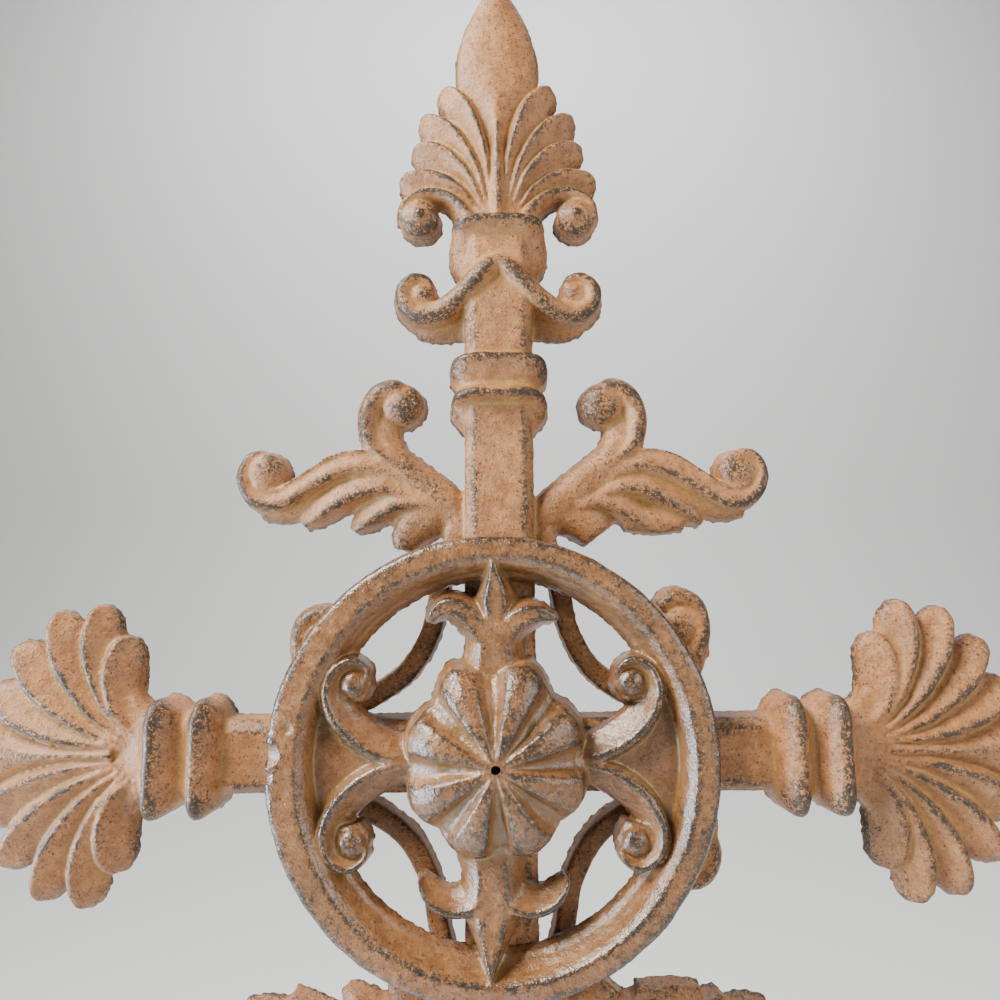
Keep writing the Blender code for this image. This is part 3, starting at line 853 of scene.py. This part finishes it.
def medallion_casting():
    casting = Casting(MEDALLION_BACK, MEDALLION_OFFSET)
    ring(casting)
    rosette(casting)
    upper_stem = (
        (0.3, 14.0, 7.0, SPOKE * 0.9),
        (0.3, 20.0, 6.6, SPOKE * 0.94),
        (0.3, 25.0, 6.0, SPOKE * 0.98),
        (0.3, 30.0, 5.0, SPOKE * 0.96),
        (0.3, 33.0, 3.2, SPOKE * 0.86),
    )
    upper_spear = (
        (0.5, 28.4, 2.2, SPOKE * 0.9),
        (0.6, 31.6, 4.0, SPOKE * 1.0),
        (0.7, 34.0, 4.7, SPOKE * 1.02),
        (0.6, 37.4, 3.4, SPOKE * 1.06),
        (0.3, 40.6, 1.8, SPOKE * 1.14),
        (0.1, 43.6, 0.4, SPOKE * 1.17),
    )
    upper_leaves = (
        (
            (1.4, 24.6, 3.4, SPOKE * 0.94),
            (4.0, 28.8, 3.9, SPOKE),
            (7.4, 31.0, 3.7, SPOKE * 1.02),
            (10.6, 31.3, 2.8, SPOKE * 0.98),
            (13.0, 30.7, 1.7, SPOKE * 0.9),
            (14.6, 30.2, 0.7, SPOKE * 0.8),
        ),
        (
            (0.8, 24.6, 3.2, SPOKE * 0.94),
            (3.8, 29.4, 3.7, SPOKE),
            (7.2, 32.4, 3.6, SPOKE * 1.02),
            (10.4, 33.0, 3.0, SPOKE * 1.0),
            (12.8, 31.4, 2.2, SPOKE * 0.92),
            (13.6, 29.4, 1.0, SPOKE * 0.8),
        ),
    )
    lower_stem = (
        (-0.2, 14.0, 8.6, SPOKE * 0.9),
        (-0.2, 19.0, 7.6, SPOKE * 0.94),
        (-0.2, 22.0, 6.6, SPOKE * 0.98),
        (-0.2, 25.6, 6.4, SPOKE * 1.0),
        (-0.2, 29.6, 7.6, SPOKE * 0.99),
        (-0.2, 31.6, 6.6, SPOKE * 0.9),
    )
    lower_spear = (
        (-0.3, 27.0, 3.2, SPOKE * 0.92),
        (-0.3, 30.4, 5.4, SPOKE * 0.99),
        (-0.3, 33.0, 5.4, SPOKE * 1.02),
        (-0.4, 36.4, 3.9, SPOKE * 1.06),
        (-0.5, 39.8, 2.2, SPOKE * 1.12),
        (-0.5, 42.8, 0.4, SPOKE * 1.17),
    )
    lower_horn = (
        (0.6, 25.0, 3.2, SPOKE * 0.92),
        (4.0, 27.6, 3.3, SPOKE * 1.0),
        (7.8, 28.9, 2.9, SPOKE * 1.02),
        (11.4, 28.2, 2.4, SPOKE * 1.02),
        (14.0, 26.0, 1.8, SPOKE * 0.98),
        (15.5, 23.6, 0.7, SPOKE * 0.88),
    )
    fleur(casting, TOP_ARM, upper_stem, upper_leaves, upper_spear, DRAFTED)
    fleur(casting, BOTTOM_ARM, lower_stem, (lower_horn, lower_horn), lower_spear, HORN)
    double_scroll(casting, RIGHT_ARM)
    double_scroll(casting, LEFT_ARM)
    return casting


def linked(name, mesh):
    thing = bpy.data.objects.new(name, mesh)
    bpy.context.scene.collection.objects.link(thing)
    return thing


def evaluated(thing):
    """The mesh of an object after its modifiers."""
    depsgraph = bpy.context.evaluated_depsgraph_get()
    return bpy.data.meshes.new_from_object(thing.evaluated_get(depsgraph))


def vertex_array(mesh, attribute="co"):
    values = np.zeros(len(mesh.vertices) * 3, np.float64)
    mesh.vertices.foreach_get(attribute, values)
    return values.reshape(-1, 3)


def edge_array(mesh):
    values = np.zeros(len(mesh.edges) * 2, np.int64)
    mesh.edges.foreach_get("vertices", values)
    return values.reshape(-1, 2)


def neighbour_mean(values, edges, counts):
    """Mean over each vertex's neighbours, for a column of numbers per vertex."""
    out = np.zeros_like(values)
    size = len(values)
    for k in range(values.shape[1]):
        total = np.bincount(edges[:, 0], values[edges[:, 1], k], size)
        total += np.bincount(edges[:, 1], values[edges[:, 0], k], size)
        out[:, k] = total / counts
    return out


def smoothed(values, edges, passes, share=0.5):
    counts = np.maximum(np.bincount(edges.ravel(), minlength=len(values)), 1)
    for _ in range(passes):
        values = values + share * (neighbour_mean(values, edges, counts) - values)
    return values


def field(points, size, seed):
    """Smooth noise at each point, with features about `size` millimetres wide."""
    scale = 1.0 / size
    offset = Vector((seed * 17.3, seed * 5.1, seed * 9.7))
    return np.array([noise.noise(Vector(point) * scale + offset) for point in points])


def rough_cast(mesh, back, low, high, seed, dents):
    """Sand-cast surface: soft edges, slight waves, grain and a ragged parting edge."""
    points = vertex_array(mesh) / MM
    edges = edge_array(mesh)
    free = (-points[:, 1] - back) > 0.25
    soft = smoothed(points, edges, SOFT_PASSES)
    points[free] = soft[free]
    mesh.vertices.foreach_set("co", (points * MM).ravel())
    mesh.update()
    normals = vertex_array(mesh, "normal")
    height = -points[:, 1] - back
    push = np.zeros(len(points))
    for turn, (depth, size) in enumerate(SURFACE):
        push += depth * field(points, size, seed + turn)
    edge = np.clip(1.0 - height / EDGE_HEIGHT, 0.0, 1.0)
    ragged = field(points, RAGGED_SIZE, seed + len(SURFACE))
    push += edge * (RAGGED_OUT + RAGGED_DEPTH * ragged)
    for place, radius, depth in dents:
        away = np.linalg.norm(points - np.array(place), axis=1) / radius
        push -= depth * np.clip(1.0 - away * away, 0.0, 1.0)
    wall = 1.0 - np.abs(normals[:, 1])
    push *= np.where(height < FOOT_HEIGHT, wall, 1.0)
    points += normals * push[:, None]
    points = np.clip(points, low, high)
    mesh.vertices.foreach_set("co", (points * MM).ravel())
    mesh.update()


def standing_out(mesh, near, wide):
    """How far each vertex stands out of its smoothed surface, in millimetres."""
    points = vertex_array(mesh) / MM
    edges = edge_array(mesh)
    normals = vertex_array(mesh, "normal")
    base = smoothed(points, edges, near)
    around = smoothed(base, edges, wide)
    out = np.einsum("ij,ij->i", base - around, normals)
    return smoothed(out[:, None], edges, SOFT_PASSES)[:, 0]


def carry(name, mesh, source, values):
    """Writes a number per vertex, taken from the nearest vertex of a denser mesh."""
    tree = kdtree.KDTree(len(source.vertices))
    for i, vertex in enumerate(source.vertices):
        tree.insert(vertex.co, i)
    tree.balance()
    nearest = [tree.find(vertex.co)[1] for vertex in mesh.vertices]
    layer = mesh.attributes.new(name, "FLOAT", "POINT")
    layer.data.foreach_set("value", values[nearest].astype(np.float32))


def forms_mesh(name, casting):
    """The bodies of a casting as one mesh, in metres."""
    mesh = bpy.data.meshes.new(name)
    points = [tuple(value * MM for value in point) for point in casting.points]
    mesh.from_pydata(points, [], casting.faces)
    return mesh


def centre_drill(casting):
    """A pin where the small hole goes, at the middle of the rosette."""
    pin = Casting(casting.back, casting.shift)
    sections = []
    for level in (ROSETTE_HEIGHT - HOLE_DEPTH, ROSETTE_HEIGHT + 3.0):
        section = []
        for i in range(24):
            angle = math.tau * i / 24
            across = HOLE_RADIUS * math.cos(angle) + ROSETTE_OFFSET
            place = pin.spot(TOP_ARM, across, HOLE_RADIUS * math.sin(angle), level)
            section.append(place)
        sections.append(section)
    pin.skin(sections)
    mesh = forms_mesh("pin", pin)
    tidy = bmesh.new()
    tidy.from_mesh(mesh)
    bmesh.ops.recalc_face_normals(tidy, faces=tidy.faces)
    tidy.to_mesh(mesh)
    tidy.free()
    return linked("pin", mesh)


def cast_piece(name, casting, node, voxel, triangles, seed, dents=(), drill=None):
    """Fuses a casting's forms, roughens them and thins the mesh to its budget."""
    rough = linked(name + "_rough", forms_mesh(name + "_forms", casting))
    remesh = rough.modifiers.new("fuse", "REMESH")
    remesh.mode = "VOXEL"
    remesh.voxel_size = voxel * MM
    dense = evaluated(rough)
    rough.modifiers.clear()
    rough.data = dense
    low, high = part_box(node)
    low = np.array(low) / MM + BOX_MARGIN
    high = np.array(high) / MM - BOX_MARGIN
    if casting.back == 0.0:
        high[1] = -BACK_MARGIN
    rough_cast(dense, casting.back, low, high, seed, dents)
    relief = standing_out(dense, 2, round(RELIEF_REACH / voxel**2))
    height = -vertex_array(dense)[:, 1] / MM - casting.back
    worn = np.clip((height - WORN_FROM) / WORN_OVER, WORN_LEAST, 1.0)
    relief = np.where(relief > 0.0, relief * worn, relief)
    count = sum(len(polygon.vertices) - 2 for polygon in dense.polygons)
    thin = rough.modifiers.new("thin", "DECIMATE")
    thin.ratio = min(1.0, triangles / count)
    if drill:
        pin = drill(casting)
        bore = rough.modifiers.new("bore", "BOOLEAN")
        bore.operation = "DIFFERENCE"
        bore.solver = "EXACT"
        bore.object = pin
    final = evaluated(rough)
    final.name = name
    carry("relief", final, dense, relief)
    swell = final.attributes.new("swell", "FLOAT", "POINT")
    swell.data.foreach_set("value", standing_out(final, 1, SWELL_PASSES).astype(np.float32))
    final.shade_smooth()
    final.set_sharp_from_angle(angle=SHARP_ANGLE)
    bpy.data.objects.remove(rough)
    if drill:
        bpy.data.objects.remove(pin)
    return linked(name, final)


def main():
    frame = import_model()
    bpy.context.scene.camera = photo_camera()
    cross = cast_piece(
        "cross_casting",
        cross_casting(),
        "cross",
        CROSS_VOXEL,
        CROSS_TRIANGLES,
        CROSS_SEED,
    )
    medallion = cast_piece(
        "medallion_casting",
        medallion_casting(),
        "medallion",
        MEDALLION_VOXEL,
        MEDALLION_TRIANGLES,
        MEDALLION_SEED,
        CHIPS,
        centre_drill,
    )
    finish = {"cross": cross, "medallion": medallion}
    for node, piece in finish.items():
        piece.data.materials.append(antiqued_paint(node + "_paint", *PAINT[node]))
        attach(piece, "root")
        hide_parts(node)
    studio()


def photo_camera():
    """Close in front of the crossing, tilted up a little, as the photo was taken."""
    data = bpy.data.cameras.new("photo_camera")
    data.sensor_width = 36.0
    data.lens = 27.9
    data.clip_start = 0.01
    camera = bpy.data.objects.new("photo_camera", data)
    bpy.context.scene.collection.objects.link(camera)
    camera.location = (0.0, -0.187, 0.0344)
    camera.rotation_euler = (math.radians(97.35), math.radians(0.35), 0.0)
    return camera


class Shader:
    """A material's node tree, with short calls for the nodes used here."""

    def __init__(self, name):
        self.material = bpy.data.materials.new(name)
        self.material.use_nodes = True
        self.tree = self.material.node_tree
        self.surface = self.tree.nodes["Principled BSDF"]
        self.place = self.tree.nodes.new("ShaderNodeTexCoord").outputs["Object"]

    def put(self, socket, value):
        if isinstance(value, bpy.types.NodeSocket):
            self.tree.links.new(value, socket)
        else:
            socket.default_value = value

    def grain(self, size, detail=3.0, roughness=0.55, warp=0.0):
        """Noise from 0 to 1 with features about `size` millimetres wide."""
        node = self.tree.nodes.new("ShaderNodeTexNoise")
        self.put(node.inputs["Vector"], self.place)
        node.inputs["Scale"].default_value = 1000.0 / size
        node.inputs["Detail"].default_value = detail
        node.inputs["Roughness"].default_value = roughness
        node.inputs["Distortion"].default_value = warp
        return node.outputs["Fac"]

    def math(self, operation, first, second=0.0, third=0.0):
        node = self.tree.nodes.new("ShaderNodeMath")
        node.operation = operation
        for socket, value in zip(node.inputs, (first, second, third)):
            self.put(socket, value)
        return node.outputs[0]

    def ramp(self, value, low, high, to_low=0.0, to_high=1.0):
        """Smooth step of a value between two marks."""
        node = self.tree.nodes.new("ShaderNodeMapRange")
        node.interpolation_type = "SMOOTHSTEP"
        keys = ("Value", "From Min", "From Max", "To Min", "To Max")
        for key, entry in zip(keys, (value, low, high, to_low, to_high)):
            self.put(node.inputs[key], entry)
        return node.outputs[0]

    def mix(self, share, first, second):
        node = self.tree.nodes.new("ShaderNodeMix")
        node.data_type = "RGBA"
        self.put(node.inputs["Factor"], share)
        colours = [socket for socket in node.inputs if socket.type == "RGBA"]
        for socket, value in zip(colours, (first, second)):
            self.put(socket, value)
        return [socket for socket in node.outputs if socket.type == "RGBA"][0]

    def attribute(self, name):
        node = self.tree.nodes.new("ShaderNodeAttribute")
        node.attribute_type = "GEOMETRY"
        node.attribute_name = name
        return node.outputs["Fac"]


def antiqued_paint(name, rubbed, tone_and_shade, gloss, shine):
    """Rust-brown paint over black iron, rubbed to black on the crests and golden in the grooves.

    `relief` says how far a spot stands out of its near surroundings, `swell` of its wider ones.
    """
    paint = Shader(name)
    relief = paint.attribute("relief")
    swell = paint.attribute("swell")
    patches = paint.grain(16.0, 3.0)
    mottle = paint.grain(3.0, 4.0, 0.65)
    speckle = paint.grain(1.0, 3.0, 0.7)
    sand = paint.grain(0.46, 2.0, 0.6)
    streak = paint.math("SUBTRACT", paint.grain(3.4, 4.0, 0.62, 1.0), 0.5)
    vein = paint.ramp(paint.math("ABSOLUTE", streak), 0.022, 0.004)
    grit = paint.math("MULTIPLY_ADD", sand, 0.5, paint.math("MULTIPLY", speckle, 0.5))

    # Every colour here is scaled by the casting's brightness value, which is set lower on the
    # medallion as painted shade
    def shade(red, green, blue):
        return (red * tone_and_shade, green * tone_and_shade, blue * tone_and_shade, 1.0)

    # Brown with redder patches, gold in the grooves, light and dark grains
    rust = paint.ramp(mottle, 0.34, 0.66)
    brown = paint.mix(rust, shade(0.28, 0.118, 0.042), shade(0.43, 0.2, 0.078))
    patch = paint.ramp(patches, 0.4, 0.7, 0.0, 0.5)
    brown = paint.mix(patch, brown, shade(0.2, 0.088, 0.036))
    groove = paint.ramp(relief, -0.02, -0.2)
    dust = paint.ramp(speckle, 0.3, 0.7)
    gold = paint.mix(dust, shade(0.25, 0.128, 0.034), shade(0.44, 0.246, 0.078))
    brown = paint.mix(paint.math("MULTIPLY", groove, 0.85), brown, gold)
    light_grains = paint.ramp(grit, 0.43, 0.36, 0.0, 0.45)
    brown = paint.mix(light_grains, brown, shade(0.64, 0.33, 0.12))
    dark_grains = paint.ramp(grit, 0.5, 0.6, 0.0, 0.34)
    brown = paint.mix(dark_grains, brown, shade(0.12, 0.06, 0.028))

    # Darkened where it stands high, unevenly
    blotch = paint.math("MULTIPLY_ADD", patches, 0.3, -0.3)
    blotch = paint.math("MULTIPLY_ADD", mottle, 0.3, blotch)
    proud = paint.math("ADD", relief, rubbed)
    high = paint.math("ADD", paint.math("MULTIPLY_ADD", swell, 0.2, proud), blotch)
    smut = paint.ramp(grit, 0.4, 0.56, 0.2, 1.0)
    smut = paint.math("MULTIPLY", paint.ramp(high, 0.0, 0.32), smut)
    colour = paint.mix(paint.math("MULTIPLY", smut, 0.8), brown, shade(0.085, 0.052, 0.028))

    # Rubbed to the black iron in grains and thin veins, mostly on the crests
    crest = paint.math("ADD", paint.math("MULTIPLY_ADD", swell, 0.13, proud), blotch)
    crest = paint.ramp(crest, 0.07, 0.34)
    low = paint.ramp(relief, 0.02, -0.12, 0.0, 0.05)
    thin = paint.math("MULTIPLY_ADD", crest, 0.145, paint.math("SUBTRACT", grit, low))
    vein = paint.math("MULTIPLY", vein, paint.ramp(crest, 0.0, 0.6, 0.03, 0.11))
    dark = paint.ramp(paint.math("ADD", thin, vein), 0.568, 0.625)
    iron = paint.ramp(sand, 0.35, 0.7)
    black = paint.mix(iron, (0.01, 0.008, 0.006, 1.0), (0.045, 0.034, 0.024, 1.0))
    colour = paint.mix(paint.math("MULTIPLY", dark, 0.92), colour, black)
    paint.put(paint.surface.inputs["Base Color"], colour)

    rough = paint.ramp(mottle, 0.3, 0.7, gloss - 0.05, gloss + 0.05)
    rough = paint.math("MULTIPLY_ADD", paint.ramp(high, 0.0, 0.4), -0.08, rough)
    paint.put(paint.surface.inputs["Roughness"], rough)
    paint.put(paint.surface.inputs["Metallic"], paint.math("MULTIPLY", dark, 0.1))
    paint.surface.inputs["Specular IOR Level"].default_value = shine

    level = paint.math("MULTIPLY_ADD", sand, 0.45, paint.math("MULTIPLY", speckle, 0.8))
    bump = paint.tree.nodes.new("ShaderNodeBump")
    bump.inputs["Strength"].default_value = 0.8
    bump.inputs["Distance"].default_value = 0.26 * MM
    paint.put(bump.inputs["Height"], level)
    paint.put(paint.surface.inputs["Normal"], bump.outputs["Normal"])
    return paint.material


def plain(name, colour):
    material = bpy.data.materials.new(name)
    material.use_nodes = True
    surface = material.node_tree.nodes["Principled BSDF"]
    surface.inputs["Base Color"].default_value = colour
    surface.inputs["Roughness"].default_value = 0.9
    return material


def area_light(name, place, target, size, power, colour):
    data = bpy.data.lights.new(name, "AREA")
    data.shape = "RECTANGLE"
    data.size = size[0]
    data.size_y = size[1]
    data.energy = power
    data.color = colour
    light = linked(name, data)
    light.location = place
    aim = Vector(target) - Vector(place)
    light.rotation_euler = aim.to_track_quat("-Z", "Y").to_euler()


def studio():
    """A pale sweep well behind and below the cross, a window-like key and soft fills."""
    width = 4.0
    bend = 0.8
    floor = -0.42
    wall = 2.5
    rows = [(-3.0, floor)]
    for i in range(13):
        angle = math.pi / 2 * i / 12
        rows.append((wall - bend + bend * math.sin(angle), floor + bend - bend * math.cos(angle)))
    rows.append((wall, 4.0))
    points = []
    for y, z in rows:
        points += [(-width, y, z), (width, y, z)]
    faces = [(2 * i, 2 * i + 1, 2 * i + 3, 2 * i + 2) for i in range(len(rows) - 1)]
    mesh = bpy.data.meshes.new("sweep")
    mesh.from_pydata(points, [], faces)
    mesh.shade_smooth()
    mesh.materials.append(plain("pale_sweep", (0.78, 0.78, 0.77, 1.0)))
    sweep = linked("sweep", mesh)

    world = bpy.data.worlds.new("soft_room")
    world.use_nodes = True
    world.node_tree.nodes["Background"].inputs["Color"].default_value = (0.95, 0.96, 1.0, 1.0)
    world.node_tree.nodes["Background"].inputs["Strength"].default_value = 0.12
    bpy.context.scene.world = world
    crossing = (0.0, 0.0, 0.0)
    above = (0.0, 0.0, 0.05)
    area_light("window", (-0.62, -0.2, -0.08), crossing, (0.16, 0.3), 12.5, (0.62, 0.8, 1.0))
    area_light("ceiling", (-0.4, -0.27, 0.46), above, (0.26, 0.26), 16.0, (1.0, 0.92, 0.81))
    area_light("fill", (1.1, -0.8, 0.4), above, (0.9, 0.9), 19.0, (1.0, 0.95, 0.88))
    area_light("sweep_light", (0.0, 0.9, 2.6), (0.0, 2.3, 0.3), (2.5, 1.0), 90.0, (1.0, 1.0, 1.0))


main()
